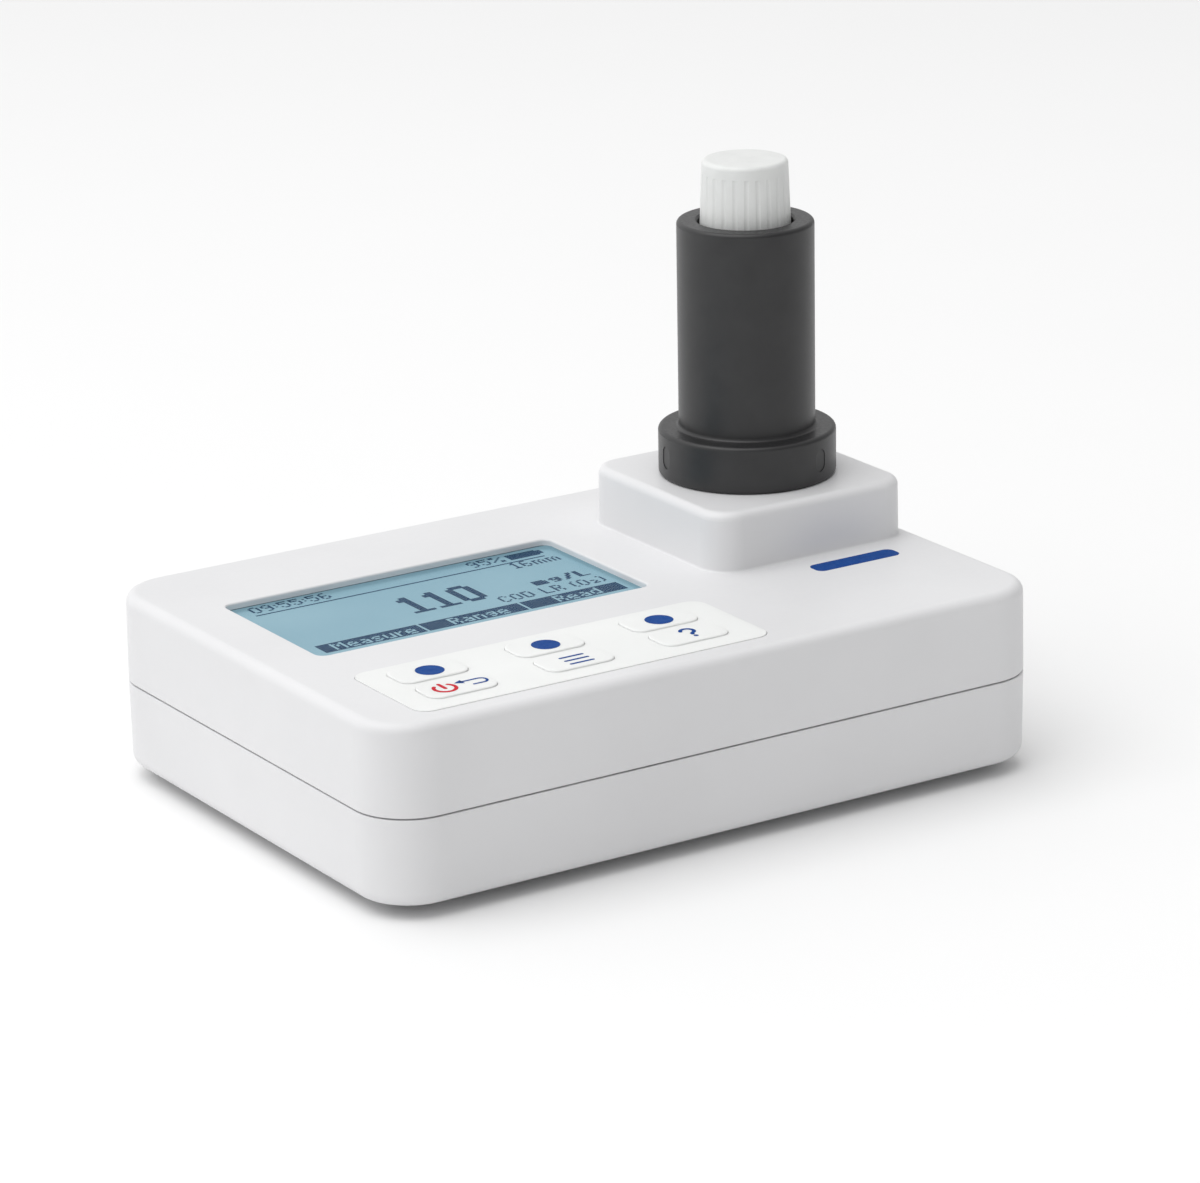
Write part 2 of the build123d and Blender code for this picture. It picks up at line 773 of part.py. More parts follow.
# Round battery cover with its coin slot and seal groove
ring_z = cover_seat_z + ring_section + ring_clearance
groove_radius = cover_radius + cover_clearance - 2 * ring_section
with BuildPart() as battery_cover:
    drums(
        cover_flange_radius, [(bay_x, bay_y)], cover_bottom_z, cover_flange_thickness
    )
    chamfer(battery_cover.edges().group_by(Axis.Z)[0], cover_recess)
    drums(cover_radius, [(bay_x, bay_y)], cover_seat_z, cover_top_z - cover_seat_z)
    with BuildSketch(Plane.XY.offset(cover_seat_z)):
        with Locations((bay_x, bay_y)):
            Circle(cover_radius)
            Circle(groove_radius, mode=Mode.SUBTRACT)
    extrude(amount=2 * (ring_section + ring_clearance), mode=Mode.SUBTRACT)
    drums(
        groove_radius - collar_wall, [(bay_x, bay_y)],
        cover_bottom_z + coin_slot_backing, cover_height, Mode.SUBTRACT,
    )
    with BuildSketch(Plane.XY.offset(cover_bottom_z)):
        with Locations((bay_x, bay_y)):
            SlotOverall(coin_slot_length, coin_slot_width)
    extrude(amount=coin_slot_depth, mode=Mode.SUBTRACT)
battery_cover.part.label = "battery_cover"
export_step(battery_cover.part, "parts/battery_cover.step")

# Round seal in the groove of the cover
with BuildPart() as battery_cover_seal:
    with BuildSketch(cover_plane):
        with Locations((cover_radius + cover_clearance - ring_section - ring_clearance, ring_z)):
            Circle(ring_section - ring_clearance)
    revolve(axis=cover_axis)
battery_cover_seal.part.label = "battery_cover_seal"
export_step(battery_cover_seal.part, "parts/battery_cover_seal.step")

# Turned black adapter: stem in the well, flange on the block, tube above
stem_radius = well_radius - adapter_fit
bore_radius = vial_radius + vial_clearance
stem_bottom_z = well_floor_z + holder_gap
flange_top_z = block_top_z + adapter_flange_height
index_directions = [
    math.radians(index_angle + step * 360 / index_count) for step in range(index_count)
]
index_planes = [
    Plane(
        origin=(
            block_x + (adapter_flange_radius - index_depth) * math.cos(direction),
            block_y + (adapter_flange_radius - index_depth) * math.sin(direction),
            (block_top_z + flange_top_z) / 2,
        ),
        x_dir=(0, 0, 1), z_dir=(math.cos(direction), math.sin(direction), 0),
    )
    for direction in index_directions
]
with BuildPart() as vial_adapter:
    with BuildSketch(well_plane):
        with BuildLine():
            Polyline(
                (0, stem_bottom_z),
                (stem_radius, stem_bottom_z),
                (stem_radius, block_top_z),
                (adapter_flange_radius, block_top_z),
                (adapter_flange_radius, flange_top_z),
                (adapter_tube_radius, flange_top_z),
                (adapter_tube_radius, adapter_top_z),
                (cap_bore_radius, adapter_top_z),
                (cap_bore_radius, adapter_top_z - cap_bore_depth),
                (bore_radius, adapter_top_z - cap_bore_depth - (cap_bore_radius - bore_radius)),
                (bore_radius, stem_bottom_z + adapter_floor),
                (0, stem_bottom_z + adapter_floor),
                close=True,
            )
        make_face()
    revolve(axis=well_axis)
    fillet(
        ring_edges(vial_adapter.part, adapter_flange_radius, block_top_z)
        + ring_edges(vial_adapter.part, adapter_flange_radius, flange_top_z)
        + ring_edges(vial_adapter.part, adapter_tube_radius, adapter_top_z),
        adapter_edge_fillet,
    )
    fillet(ring_edges(vial_adapter.part, adapter_tube_radius, flange_top_z), adapter_neck_fillet)
    chamfer(
        ring_edges(vial_adapter.part, cap_bore_radius, adapter_top_z)
        + ring_edges(vial_adapter.part, stem_radius, stem_bottom_z),
        adapter_edge_fillet / 2,
    )
    with BuildSketch(*index_planes):
        SlotOverall(index_height, index_width)
    extrude(amount=2 * index_depth, mode=Mode.SUBTRACT)
    with BuildSketch(Plane.XZ.offset(-block_y)):
        with Locations((block_x, optic_z)):
            Circle(beam_window_radius)
    extrude(amount=well_radius, both=True, mode=Mode.SUBTRACT)
vial_adapter.part.label = "vial_adapter"
export_step(vial_adapter.part, "parts/vial_adapter.step")

# Glass vial with its narrower neck
with BuildPart() as vial:
    with BuildSketch(well_plane):
        with BuildLine():
            Polyline(
                (0, vial_bottom_z),
                (vial_radius, vial_bottom_z),
                (vial_radius, vial_shoulder_z),
                (neck_radius, vial_shoulder_z),
                (neck_radius, vial_rim_z),
                (neck_radius - neck_wall, vial_rim_z),
                (neck_radius - neck_wall, vial_shoulder_z - vial_wall),
                (vial_radius - vial_wall, vial_shoulder_z - 2 * vial_wall),
                (vial_radius - vial_wall, vial_bottom_z + vial_wall),
                (0, vial_bottom_z + vial_wall),
                close=True,
            )
        make_face()
    revolve(axis=well_axis)
    fillet(ring_edges(vial.part, vial_radius, vial_bottom_z), vial_bottom_fillet)
    fillet(
        ring_edges(vial.part, vial_radius - vial_wall, vial_bottom_z + vial_wall),
        vial_bottom_fillet - vial_wall,
    )
    fillet(ring_edges(vial.part, vial_radius, vial_shoulder_z), vial_shoulder_fillet)
vial.part.label = "vial"
export_step(vial.part, "parts/vial.step")

# Ribbed screw cap
cap_slope = math.tan(math.radians(cap_taper))
cap_bottom_radius = cap_top_radius + cap_height * cap_slope
cap_inner_radius = neck_radius + cap_thread_clearance
groove_length = cap_height - rib_smooth_band
with BuildPart() as vial_cap:
    with BuildSketch(well_plane):
        with BuildLine():
            Polyline(
                (0, liner_top_z),
                (cap_inner_radius, liner_top_z),
                (cap_inner_radius, cap_bottom_z),
                (cap_bottom_radius, cap_bottom_z),
                (cap_top_radius, cap_top_z),
                (0, cap_top_z),
                close=True,
            )
        make_face()
    revolve(axis=well_axis)
    fillet(ring_edges(vial_cap.part, cap_top_radius, cap_top_z), cap_top_fillet)
    groove_middle = cap_bottom_z + groove_length / 2
    groove_radius_there = cap_bottom_radius - cap_slope * groove_length / 2
    cutter_distance = groove_radius_there + rib_groove_radius - rib_groove_depth
    with Locations(Plane(origin=(block_x, block_y, groove_middle))):
        with PolarLocations(cutter_distance, rib_count, start_angle=rib_angle):
            Cylinder(
                rib_groove_radius, groove_length + 1, rotation=(0, -cap_taper, 0), mode=Mode.SUBTRACT
            )
vial_cap.part.label = "vial_cap"
export_step(vial_cap.part, "parts/vial_cap.step")

# Soft liner under the top of the cap
with BuildPart() as cap_liner:
    drums(liner_radius, [(block_x, block_y)], vial_rim_z, liner_thickness)
cap_liner.part.label = "cap_liner"
export_step(cap_liner.part, "parts/cap_liner.step")
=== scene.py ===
import json
import math

import bmesh
import bpy
from mathutils import Matrix, Vector


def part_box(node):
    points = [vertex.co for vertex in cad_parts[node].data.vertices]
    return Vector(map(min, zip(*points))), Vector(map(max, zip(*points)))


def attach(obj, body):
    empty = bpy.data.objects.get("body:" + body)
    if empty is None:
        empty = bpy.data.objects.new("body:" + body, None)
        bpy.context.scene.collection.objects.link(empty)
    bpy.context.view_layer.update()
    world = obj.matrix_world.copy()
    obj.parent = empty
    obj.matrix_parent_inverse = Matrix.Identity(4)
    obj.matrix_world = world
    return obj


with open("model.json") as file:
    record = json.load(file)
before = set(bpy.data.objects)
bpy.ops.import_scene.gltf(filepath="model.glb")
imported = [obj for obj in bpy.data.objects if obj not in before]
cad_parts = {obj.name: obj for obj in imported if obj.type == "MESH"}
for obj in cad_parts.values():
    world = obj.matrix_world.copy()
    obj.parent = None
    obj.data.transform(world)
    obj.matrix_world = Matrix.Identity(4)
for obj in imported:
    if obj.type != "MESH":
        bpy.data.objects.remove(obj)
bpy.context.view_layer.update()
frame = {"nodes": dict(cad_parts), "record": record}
nodes = frame["nodes"]
MM = 0.001

# Camera at the photograph's angle
AZIMUTH = math.radians(-32.572)
ELEVATION = math.radians(17.949)
ROLL = math.radians(-1.019)
DISTANCE = 0.972678
TARGET = Vector((0.024495, 0.029325, 0.0225))
FOCAL_PIXELS = 5019.37
IMAGE_WIDTH = 1200

back = Vector(
    (
        math.sin(AZIMUTH) * math.cos(ELEVATION),
        -math.cos(AZIMUTH) * math.cos(ELEVATION),
        math.sin(ELEVATION),
    )
)
level_right = (-back).cross(Vector((0, 0, 1))).normalized()
level_up = level_right.cross(-back)
right = math.cos(ROLL) * level_right + math.sin(ROLL) * level_up
up = -math.sin(ROLL) * level_right + math.cos(ROLL) * level_up
camera_data = bpy.data.cameras.new("photo_camera")
camera_data.sensor_width = 36
camera_data.sensor_fit = "HORIZONTAL"
camera_data.lens = FOCAL_PIXELS / IMAGE_WIDTH * camera_data.sensor_width
camera_data.clip_end = 20
camera = bpy.data.objects.new("photo_camera", camera_data)
bpy.context.scene.collection.objects.link(camera)
turn = Matrix((right, up, back)).transposed().to_4x4()
camera.matrix_world = Matrix.Translation(TARGET + back * DISTANCE) @ turn
bpy.context.scene.camera = camera


def linear(red, green, blue):
    """Linear colour of a display colour given from 0 to 255."""
    parts = [c / 255 for c in (red, green, blue)]
    return tuple(c / 12.92 if c <= 0.04045 else ((c + 0.055) / 1.055) ** 2.4 for c in parts) + (1,)


class Finish:
    """A material built from nodes on object coordinates, in metres."""

    def __init__(self, name):
        self.material = bpy.data.materials.new(name)
        self.material.use_nodes = True
        self.tree = self.material.node_tree
        self.shader = self.tree.nodes["Principled BSDF"]
        self.place = self.add("ShaderNodeTexCoord").outputs["Object"]

    def add(self, kind, **values):
        node = self.tree.nodes.new(kind)
        for key, value in values.items():
            setattr(node, key, value)
        return node

    def join(self, output, socket):
        self.tree.links.new(output, socket)

    def set(self, **values):
        for key, value in values.items():
            self.shader.inputs[key.replace("_", " ")].default_value = value
        return self

    def noise(self, size, detail=3, stretch=None):
        """Noise whose features are about this size in metres."""
        node = self.add("ShaderNodeTexNoise")
        node.inputs["Scale"].default_value = 1 / size
        node.inputs["Detail"].default_value = detail
        place = self.place
        if stretch:
            mapping = self.add("ShaderNodeMapping")
            mapping.inputs["Scale"].default_value = stretch
            self.join(place, mapping.inputs["Vector"])
            place = mapping.outputs["Vector"]
        self.join(place, node.inputs["Vector"])
        return node.outputs["Fac"]

    def spread(self, factor, low, high, start=0.3, stop=0.7):
        """Maps a factor to a range of values."""
        node = self.add("ShaderNodeMapRange")
        node.inputs["From Min"].default_value = start
        node.inputs["From Max"].default_value = stop
        node.inputs["To Min"].default_value = low
        node.inputs["To Max"].default_value = high
        self.join(factor, node.inputs["Value"])
        return node.outputs["Result"]

    def tint(self, factor, low, high, start=0.3, stop=0.7):
        """Maps a factor to a blend of two colours."""
        node = self.add("ShaderNodeMix", data_type="RGBA")
        node.inputs[6].default_value = low
        node.inputs[7].default_value = high
        self.join(self.spread(factor, 0, 1, start, stop), node.inputs[0])
        return node.outputs[2]

    def colour(self, low, high, size, detail=3):
        self.join(self.tint(self.noise(size, detail), low, high), self.shader.inputs["Base Color"])
        return self

    def rough(self, low, high, size, detail=4, stretch=None):
        result = self.spread(self.noise(size, detail, stretch), low, high)
        self.join(result, self.shader.inputs["Roughness"])
        return self

    def grain(self, size, height, strength=0.5, detail=4, stretch=None):
        node = self.add("ShaderNodeBump")
        node.inputs["Strength"].default_value = strength
        node.inputs["Distance"].default_value = height
        self.join(self.noise(size, detail, stretch), node.inputs["Height"])
        self.join(node.outputs["Normal"], self.shader.inputs["Normal"])
        return self


finishes = {
    "housing_white": Finish("housing_white")
    .colour((0.72, 0.72, 0.73, 1), (0.75, 0.75, 0.76, 1), 0.03)
    .rough(0.36, 0.46, 0.0012)
    .grain(0.00022, 0.00001, 0.35),
    "keypad_white": Finish("keypad_white")
    .colour((0.80, 0.81, 0.80, 1), (0.83, 0.84, 0.83, 1), 0.02)
    .rough(0.5, 0.62, 0.0008)
    .grain(0.0003, 0.000008, 0.3)
    .set(Subsurface_Weight=0.4, Subsurface_Scale=0.0015, Subsurface_Radius=(1, 1, 1)),
    "adapter_black": Finish("adapter_black")
    .colour((0.017, 0.017, 0.018, 1), (0.023, 0.023, 0.024, 1), 0.006)
    .rough(0.34, 0.44, 0.0006, stretch=(1, 1, 14))
    .grain(0.0006, 0.00001, 0.3, stretch=(0.15, 0.15, 9)),
    "cap_white": Finish("cap_white")
    .colour((0.70, 0.71, 0.70, 1), (0.74, 0.75, 0.74, 1), 0.004)
    .rough(0.3, 0.42, 0.0006)
    .grain(0.0004, 0.00001, 0.3)
    .set(Subsurface_Weight=0.25, Subsurface_Scale=0.0012, Subsurface_Radius=(1, 1, 1)),
    "liner_white": Finish("liner_white")
    .colour((0.74, 0.73, 0.68, 1), (0.80, 0.79, 0.75, 1), 0.002)
    .rough(0.6, 0.75, 0.0005)
    .grain(0.0003, 0.00001),
    "vial_glass": Finish("vial_glass")
    .colour((0.93, 0.97, 0.96, 1), (0.97, 0.99, 0.98, 1), 0.03)
    .rough(0.0, 0.03, 0.004)
    .set(Transmission_Weight=1.0, IOR=1.47),
    "window_clear": Finish("window_clear")
    .colour((0.02, 0.02, 0.022, 1), (0.03, 0.03, 0.03, 1), 0.03)
    .rough(0.08, 0.14, 0.006)
    .set(Alpha=0.06),
    "display_blue": Finish("display_blue")
    .colour((0.30, 0.50, 0.60, 1), (0.34, 0.55, 0.65, 1), 0.02)
    .rough(0.4, 0.5, 0.002),
    "frame_steel": Finish("frame_steel")
    .colour((0.45, 0.45, 0.46, 1), (0.55, 0.55, 0.56, 1), 0.004)
    .rough(0.3, 0.45, 0.0008, stretch=(1, 12, 1))
    .set(Metallic=1.0),
    "light_panel": Finish("light_panel")
    .colour((0.80, 0.84, 0.88, 1), (0.86, 0.89, 0.92, 1), 0.01)
    .rough(0.25, 0.35, 0.002),
    "seal_rubber": Finish("seal_rubber")
    .colour((0.02, 0.02, 0.02, 1), (0.035, 0.035, 0.035, 1), 0.002)
    .rough(0.55, 0.75, 0.0006)
    .grain(0.0004, 0.00002),
    "feet_rubber": Finish("feet_rubber")
    .colour((0.022, 0.022, 0.023, 1), (0.04, 0.04, 0.04, 1), 0.003)
    .rough(0.6, 0.8, 0.0008)
    .grain(0.0005, 0.00003),
    "screw_steel": Finish("screw_steel")
    .colour((0.48, 0.48, 0.50, 1), (0.60, 0.60, 0.61, 1), 0.001)
    .rough(0.22, 0.4, 0.0005)
    .set(Metallic=1.0),
    "board_green": Finish("board_green")
    .colour((0.012, 0.10, 0.045, 1), (0.02, 0.15, 0.065, 1), 0.006)
    .rough(0.25, 0.4, 0.001)
    .grain(0.0008, 0.00002),
    "part_black": Finish("part_black")
    .colour((0.018, 0.018, 0.019, 1), (0.03, 0.03, 0.03, 1), 0.002)
    .rough(0.4, 0.55, 0.0006)
    .grain(0.0004, 0.00001),
    "optic_black": Finish("optic_black")
    .colour((0.012, 0.012, 0.012, 1), (0.02, 0.02, 0.02, 1), 0.003)
    .rough(0.55, 0.7, 0.0006)
    .grain(0.0005, 0.00002),
    "lamp_lens": Finish("lamp_lens")
    .colour((0.75, 0.80, 0.92, 1), (0.82, 0.86, 0.95, 1), 0.003)
    .rough(0.05, 0.12, 0.002)
    .set(Transmission_Weight=0.8),
    "optic_glass": Finish("optic_glass")
    .colour((0.92, 0.95, 0.97, 1), (0.96, 0.98, 0.99, 1), 0.01)
    .rough(0.0, 0.03, 0.003)
    .set(Transmission_Weight=1.0, IOR=1.52),
    "filter_glass": Finish("filter_glass")
    .colour((0.30, 0.22, 0.55, 1), (0.42, 0.30, 0.70, 1), 0.006)
    .rough(0.03, 0.1, 0.002)
    .set(Transmission_Weight=0.6),
    "splitter_glass": Finish("splitter_glass")
    .colour((0.75, 0.77, 0.80, 1), (0.84, 0.86, 0.88, 1), 0.004)
    .rough(0.02, 0.08, 0.002)
    .set(Metallic=0.8),
    "detector_can": Finish("detector_can")
    .colour((0.60, 0.55, 0.42, 1), (0.70, 0.66, 0.55, 1), 0.002)
    .rough(0.25, 0.4, 0.0006)
    .set(Metallic=1.0),
    "contact_metal": Finish("contact_metal")
    .colour((0.62, 0.61, 0.58, 1), (0.74, 0.73, 0.70, 1), 0.002)
    .rough(0.2, 0.38, 0.0006)
    .set(Metallic=1.0),
    "cell_wrap": Finish("cell_wrap")
    .colour((0.035, 0.04, 0.055, 1), (0.055, 0.06, 0.08, 1), 0.01)
    .rough(0.2, 0.32, 0.001),
}
slots = {part["node"]: part["material_slot"] for part in frame["record"]["subparts"]}
for name, node in nodes.items():
    node.data.materials.clear()
    node.data.materials.append(finishes[slots[name]].material)

# Inks, display face and display marks
ink_blue = (
    Finish("ink_blue")
    .colour(linear(6, 62, 134), linear(12, 70, 144), 0.002)
    .rough(0.5, 0.65, 0.0005)
    .set(Specular_IOR_Level=0.12)
)
ink_red = (
    Finish("ink_red")
    .colour(linear(190, 22, 40), linear(200, 32, 50), 0.002)
    .rough(0.5, 0.65, 0.0005)
    .set(Specular_IOR_Level=0.12)
)
# Painted light: the display face glows with its lit light-blue colour instead of being lit through the
# window
face = Finish("display_face").rough(0.5, 0.6, 0.001)
face.set(Emission_Strength=0.55, Specular_IOR_Level=0.1)
face_painted_glow = face.tint(
    face.noise(0.03, 1), linear(150, 190, 207), linear(160, 199, 214), 0.35, 0.65
)
face.join(face_painted_glow, face.shader.inputs["Emission Color"])
face.join(
    face.tint(face.noise(0.02, 1), (0.12, 0.2, 0.24, 1), (0.14, 0.22, 0.26, 1)),
    face.shader.inputs["Base Color"],
)
# Painted light: the dark marks glow faintly too, in place of the light falling on them
marks = Finish("display_marks").rough(0.5, 0.6, 0.001)
marks.set(Emission_Strength=0.5, Specular_IOR_Level=0.05)
marks.colour((0.008, 0.022, 0.055, 1), (0.011, 0.028, 0.065, 1), 0.004)
marks.join(
    marks.tint(marks.noise(0.01, 1), (0.012, 0.05, 0.12, 1), (0.016, 0.058, 0.135, 1)),
    marks.shader.inputs["Emission Color"],
)


def piece(name, mesh, body, finish):
    """Links a new piece, gives it its finish and lets it ride a body."""
    mesh.materials.append(finish.material)
    thing = bpy.data.objects.new(name, mesh)
    bpy.context.scene.collection.objects.link(thing)
    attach(thing, body)
    return thing


def plates(outlines, low, high):
    """Mesh of thin upright plates with these outlines, in millimetres."""
    shape = bmesh.new()
    for outline in outlines:
        top = [shape.verts.new((x * MM, y * MM, high * MM)) for x, y in outline]
        foot = [shape.verts.new((x * MM, y * MM, low * MM)) for x, y in outline]
        shape.faces.new(top)
        for i in range(len(top)):
            j = (i + 1) % len(top)
            shape.faces.new((top[i], foot[i], foot[j], top[j]))
    bmesh.ops.recalc_face_normals(shape, faces=shape.faces)
    mesh = bpy.data.meshes.new("plates")
    shape.to_mesh(mesh)
    shape.free()
    return mesh


def disc(x, y, radius, steps=72):
    return [
        (x + radius * math.cos(2 * math.pi * i / steps), y + radius * math.sin(2 * math.pi * i / steps))
        for i in range(steps)
    ]


def rounded(x, y, length, width, corner, steps=10):
    """Outline of a rectangle with rounded corners."""
    points = []
    for quarter in range(4):
        sx = (1, -1, -1, 1)[quarter]
        sy = (1, 1, -1, -1)[quarter]
        for i in range(steps + 1):
            angle = math.pi / 2 * (quarter + i / steps)
            points.append(
                (
                    x + sx * (length / 2 - corner) + corner * math.cos(angle),
                    y + sy * (width / 2 - corner) + corner * math.sin(angle),
                )
            )
    return points


def stroke(path, width, steps=8):
    """Outline of a drawn line with round ends."""
    points = [Vector(p) for p in path]
    half = width / 2
    sides = []
    for i, point in enumerate(points):
        before = points[max(i - 1, 0)]
        after = points[min(i + 1, len(points) - 1)]
        along = (after - before).normalized()
        sides.append((point, Vector((-along.y, along.x)) * half))
    end = [
        points[-1] + Matrix.Rotation(-math.pi * k / steps, 2) @ sides[-1][1]
        for k in range(1, steps)
    ]
    start = [
        points[0] + Matrix.Rotation(-math.pi * k / steps, 2) @ -sides[0][1] for k in range(1, steps)
    ]
    outline = [p + s for p, s in sides] + end + [p - s for p, s in reversed(sides)] + start
    return [tuple(p) for p in outline]


def arc(x, y, radius, first, last, steps=28):
    """Points along an arc, with angles in degrees."""
    angles = [math.radians(first + (last - first) * i / steps) for i in range(steps + 1)]
    return [(x + radius * math.cos(a), y + radius * math.sin(a)) for a in angles]


# Prints on the keys
key_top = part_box("menu_key")[1].z / MM
INK = 0.02


def on_key(name, key, outlines, finish):
    """A print on top of a key, which moves with it."""
    mesh = plates(outlines, key_top - INK, key_top + INK)
    return piece(name, mesh, key, finish)


dot_y = -27.75
for key, x in (
    ("function_key_left", -47.9),
    ("function_key_middle", -23.7),
    ("function_key_right", 0.6),
):
    on_key(f"{key}_dot", key, [disc(x, dot_y, 2.65)], ink_blue)
power_x, power_y = -50.75, -37.65
on_key(
    "power_symbol",
    "power_key",
    [
        stroke(arc(power_x, power_y, 2.0, 134, 406), 0.72),
        stroke([(power_x, power_y - 0.2), (power_x, power_y + 2.3)], 0.72),
    ],
    ink_red,
)
hook_x, hook_y, hook_bend = -43.4, -37.6, 1.15
on_key(
    "return_symbol",
    "power_key",
    [
        stroke(
            [(hook_x - 3.4, hook_y + hook_bend)]
            + arc(hook_x, hook_y, hook_bend, 90, -90)
            + [(hook_x - 2.0, hook_y - hook_bend)],
            0.52,
        ),
        [
            (hook_x - 4.8, hook_y + hook_bend),
            (hook_x - 3.1, hook_y + hook_bend - 0.95),
            (hook_x - 3.1, hook_y + hook_bend + 0.95),
        ],
    ],
    ink_blue,
)
on_key(
    "menu_symbol",
    "menu_key",
    [stroke([(-25.8, y), (-21.2, y)], 0.6) for y in (-35.87, -37.72, -39.57)],
    ink_blue,
)
query_x, query_y = 1.05, -36.25
on_key(
    "help_symbol",
    "help_key",
    [
        stroke(
            arc(query_x, query_y, 1.25, 165, -55) + [(query_x, query_y - 1.5), (query_x, query_y - 1.9)],
            0.74,
        ),
        disc(query_x, query_y - 2.95, 0.46, 20),
    ],
    ink_blue,
)

# Blank coloured field in front of the block
upper_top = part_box("keypad_mat")[1].z / MM - 0.15
piece(
    "blue_field",
    plates([rounded(50.9, -18.5, 19.0, 4.4, 1.6)], upper_top - INK, upper_top + INK),
    "housing",
    ink_blue,
)

# Display face and its square dots
CELL = 0.507
DOT_GAP = 0.03
DOT_RISE = 0.02
FACE_MARGIN = 4.2
FACE_CORNER = 1.6
FACE_LEFT = -54.4
FACE_FRONT = -2.5
# Each glyph has its width and seven rows; the letter t stands for a small two
GLYPHS = {
    "0": (4, "6999996"), "1": (3, "2622227"), "2": (4, "691248F"), "3": (4, "6916196"),
    "4": (4, "1359F11"), "5": (4, "F8E1196"), "6": (4, "688E996"), "7": (4, "F112444"),
    "8": (4, "6996996"), "9": (4, "6997116"), ":": (1, "0010100"), "/": (4, "1122448"),
    "m": (5, "00QLLLL"), "g": (4, "0079716"), "L": (4, "888888F"), "C": (4, "6988896"),
    "O": (4, "6999996"), "D": (4, "E99999E"), "R": (4, "E99EA99"), "(": (2, "1222221"),
    ")": (2, "2111112"), "t": (3, "0006127"), "M": (5, "HRLLHHH"), "e": (4, "0069F87"),
    "a": (4, "0061797"), "s": (4, "007861E"), "u": (4, "0099997"), "r": (3, "0056444"),
    "n": (4, "00E9999"), "d": (4, "1179997"), "%": (5, "OP248J3"), " ": (2, "0000000"),
}
lit = set()


def fill(left, foot, right_end, top, value=True):
    """Sets or clears a block of the display's dots."""
    for i in range(left, right_end):
        for j in range(foot, top):
            if value:
                lit.add((i, j))
            else:
                lit.discard((i, j))


def write(text, left, foot, value=True, bold=False):
    """Draws generic readings with a dot font, seven dots high."""
    for letter in text:
        width, rows = GLYPHS[letter]
        for row, code in enumerate(rows):
            bits = int(code, 36)
            for column in range(width):
                if bits >> (width - 1 - column) & 1:
                    fill(left + column, foot + 6 - row, left + column + 1 + bold, foot + 7 - row, value)
        left += width + 1 + bold


for k, word in enumerate(("Measure", "Range", "Read")):
    start = k * 43
    fill(start, 0, start + 42, 9)
    write(word, start + (5, 11, 13)[k], 1, value=False)
fill(0, 51, 124, 52)
write("09:55:56", 1, 54)
write("95%", 94, 54)
fill(111, 54, 124, 60)
fill(124, 55, 126, 59)
write("16mm", 107, 44)
write("mg/L", 102, 22, bold=True)
write("COD LR (Ot)", 82, 12)
for left in (49, 60):
    fill(left + 3, 20, left + 6, 39)
    fill(left, 20, left + 9, 22)
    fill(left + 1, 34, left + 3, 37)
fill(71, 22, 74, 37)
fill(78, 22, 81, 37)
fill(73, 36, 79, 39)
fill(73, 20, 79, 23)

glass_low, glass_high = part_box("display_glass")
face_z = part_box("display_window")[0].z / MM - 0.05
face_mesh = plates(
    [
        rounded(
            (glass_low.x + glass_high.x) / 2 / MM,
            (glass_low.y + glass_high.y) / 2 / MM,
            (glass_high.x - glass_low.x) / MM - FACE_MARGIN,
            (glass_high.y - glass_low.y) / MM - FACE_MARGIN,
            FACE_CORNER,
        )
    ],
    glass_high.z / MM - 0.01,
    face_z,
)
piece("display_face", face_mesh, "housing", face)
dots = bmesh.new()
for i, j in sorted(lit):
    x, y = FACE_LEFT + i * CELL, FACE_FRONT + j * CELL
    near_x, near_y = x + DOT_GAP, y + DOT_GAP
    far_x, far_y = x + CELL, y + CELL
    corners = [(near_x, near_y), (far_x, near_y), (far_x, far_y), (near_x, far_y)]
    dots.faces.new([dots.verts.new((px * MM, py * MM, (face_z + DOT_RISE) * MM)) for px, py in corners])
dots_mesh = bpy.data.meshes.new("display_dots")
dots.to_mesh(dots_mesh)
dots.free()
piece("display_dots", dots_mesh, "housing", marks)

# Thread on the neck of the vial
TURN_STEPS = 48
THREAD_PITCH = 3.0
THREAD_TURNS = 3
THREAD_PROFILE = ((-0.06, -0.5), (0.1, -0.25), (0.1, 0.25), (-0.06, 0.5))
vial_low, vial_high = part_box("vial")
neck_x = (vial_low.x + vial_high.x) / 2 / MM
neck_y = (vial_low.y + vial_high.y) / 2 / MM
NECK_RADIUS = 6.7
THREAD_DEPTH = 11
thread_foot = vial_high.z / MM - THREAD_DEPTH
ridge = bmesh.new()
rings = []
for step in range(TURN_STEPS * THREAD_TURNS + 1):
    angle = 2 * math.pi * step / TURN_STEPS
    height = thread_foot + THREAD_PITCH * step / TURN_STEPS
    rings.append(
        [
            ridge.verts.new(
                (
                    (neck_x + (NECK_RADIUS + out) * math.cos(angle)) * MM,
                    (neck_y + (NECK_RADIUS + out) * math.sin(angle)) * MM,
                    (height + rise) * MM,
                )
            )
            for out, rise in THREAD_PROFILE
        ]
    )
for before, after in zip(rings, rings[1:]):
    for k in range(len(THREAD_PROFILE)):
        following = (k + 1) % len(THREAD_PROFILE)
        ridge.faces.new((before[k], before[following], after[following], after[k]))
ridge.faces.new(rings[0])
ridge.faces.new(rings[-1][::-1])
bmesh.ops.recalc_face_normals(ridge, faces=ridge.faces)
ridge_mesh = bpy.data.meshes.new("neck_thread")
ridge.to_mesh(ridge_mesh)
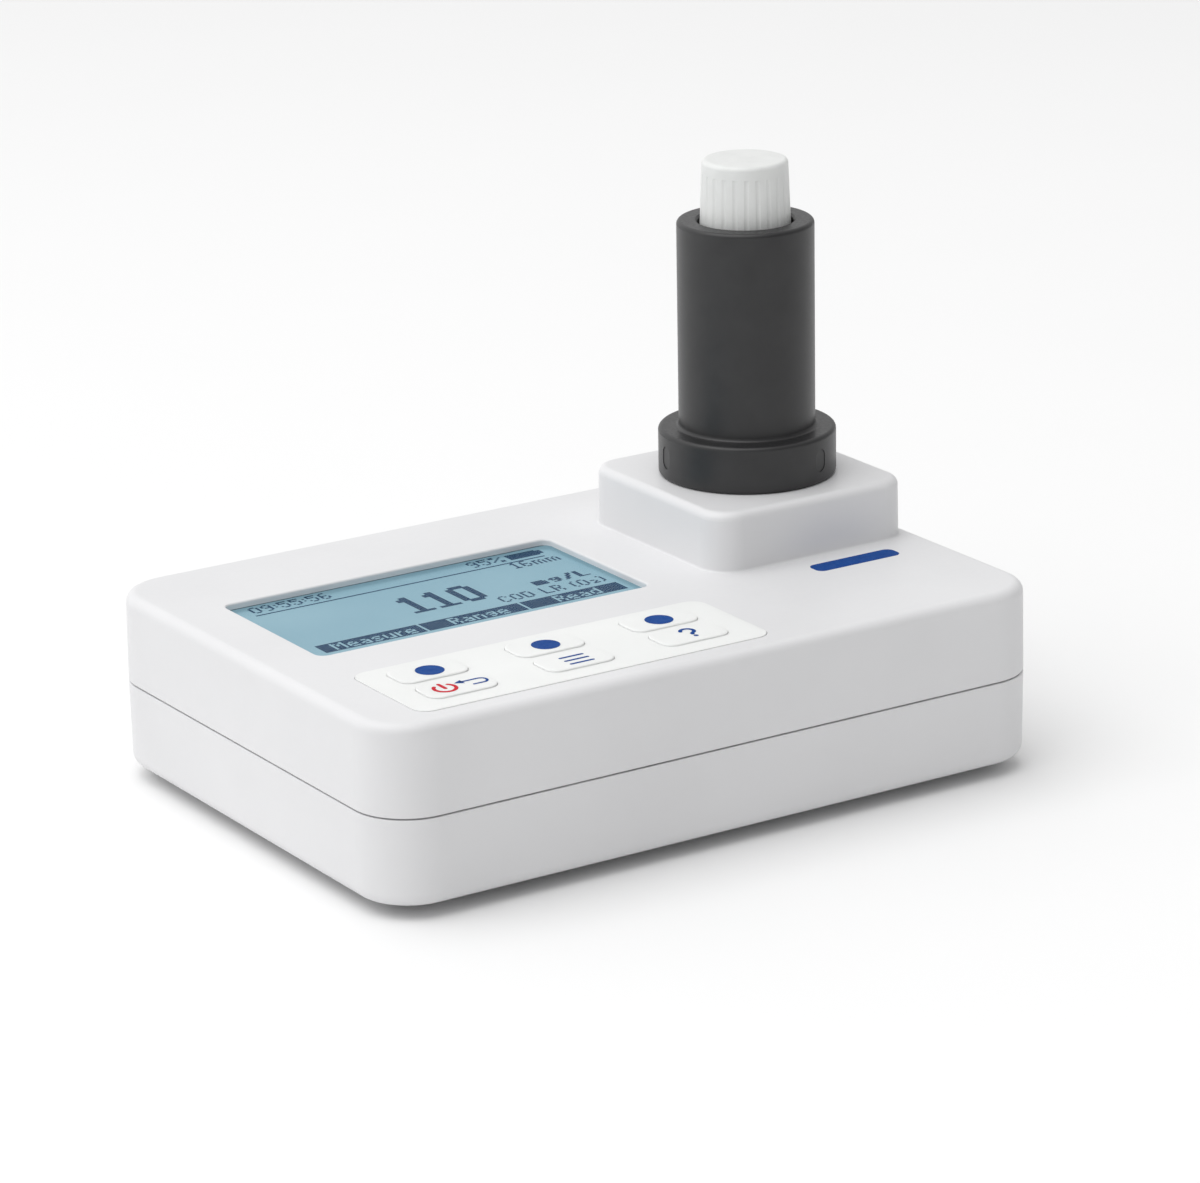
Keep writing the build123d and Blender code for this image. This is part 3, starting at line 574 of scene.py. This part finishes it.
ridge.free()
piece("neck_thread", ridge_mesh, "vial", finishes["vial_glass"])

# Plain pale floor and soft studio light
floor_shape = bmesh.new()
bmesh.ops.create_grid(floor_shape, x_segments=8, y_segments=8, size=4)
floor_mesh = bpy.data.meshes.new("floor")
floor_shape.to_mesh(floor_mesh)
floor_shape.free()
floor = bpy.data.objects.new("floor", floor_mesh)
bpy.context.scene.collection.objects.link(floor)
floor_finish = Finish("floor_pale").colour((0.90, 0.90, 0.90, 1), (0.91, 0.91, 0.91, 1), 0.4)
floor_finish.rough(0.7, 0.8, 0.05).set(Specular_IOR_Level=0.1)
floor_mesh.materials.append(floor_finish.material)

world = bpy.data.worlds.new("studio")
world.use_nodes = True
bpy.context.scene.world = world
tree = world.node_tree
background = tree.nodes["Background"]
background.inputs["Color"].default_value = (1, 1, 1, 1)
place = tree.nodes.new("ShaderNodeTexCoord")
facing = tree.nodes.new("ShaderNodeVectorMath")
facing.operation = "DOT_PRODUCT"
facing.inputs[1].default_value = Vector((-0.55, 0.75, 0.35)).normalized()
tree.links.new(place.outputs["Generated"], facing.inputs[0])
ramp = tree.nodes.new("ShaderNodeMapRange")
ramp.inputs["From Min"].default_value = -0.9
ramp.inputs["From Max"].default_value = 0.9
ramp.inputs["To Min"].default_value = 0.25
ramp.inputs["To Max"].default_value = 1.0
tree.links.new(facing.outputs["Value"], ramp.inputs["Value"])
tree.links.new(ramp.outputs["Result"], background.inputs["Strength"])


def lamp(name, towards, distance, size, power):
    """A square soft light that looks at the object."""
    data = bpy.data.lights.new(name, "AREA")
    data.shape = "SQUARE"
    data.size = size
    data.energy = power
    light = bpy.data.objects.new(name, data)
    bpy.context.scene.collection.objects.link(light)
    direction = Vector(towards).normalized()
    light.location = Vector((0.02, 0, 0.03)) + direction * distance
    light.rotation_euler = direction.to_track_quat("Z", "Y").to_euler()
    return light


lamp("key_light", (-0.34, 0.0, 0.94), 1.7, 1.8, 17)
bpy.context.scene.view_settings.view_transform = "Standard"
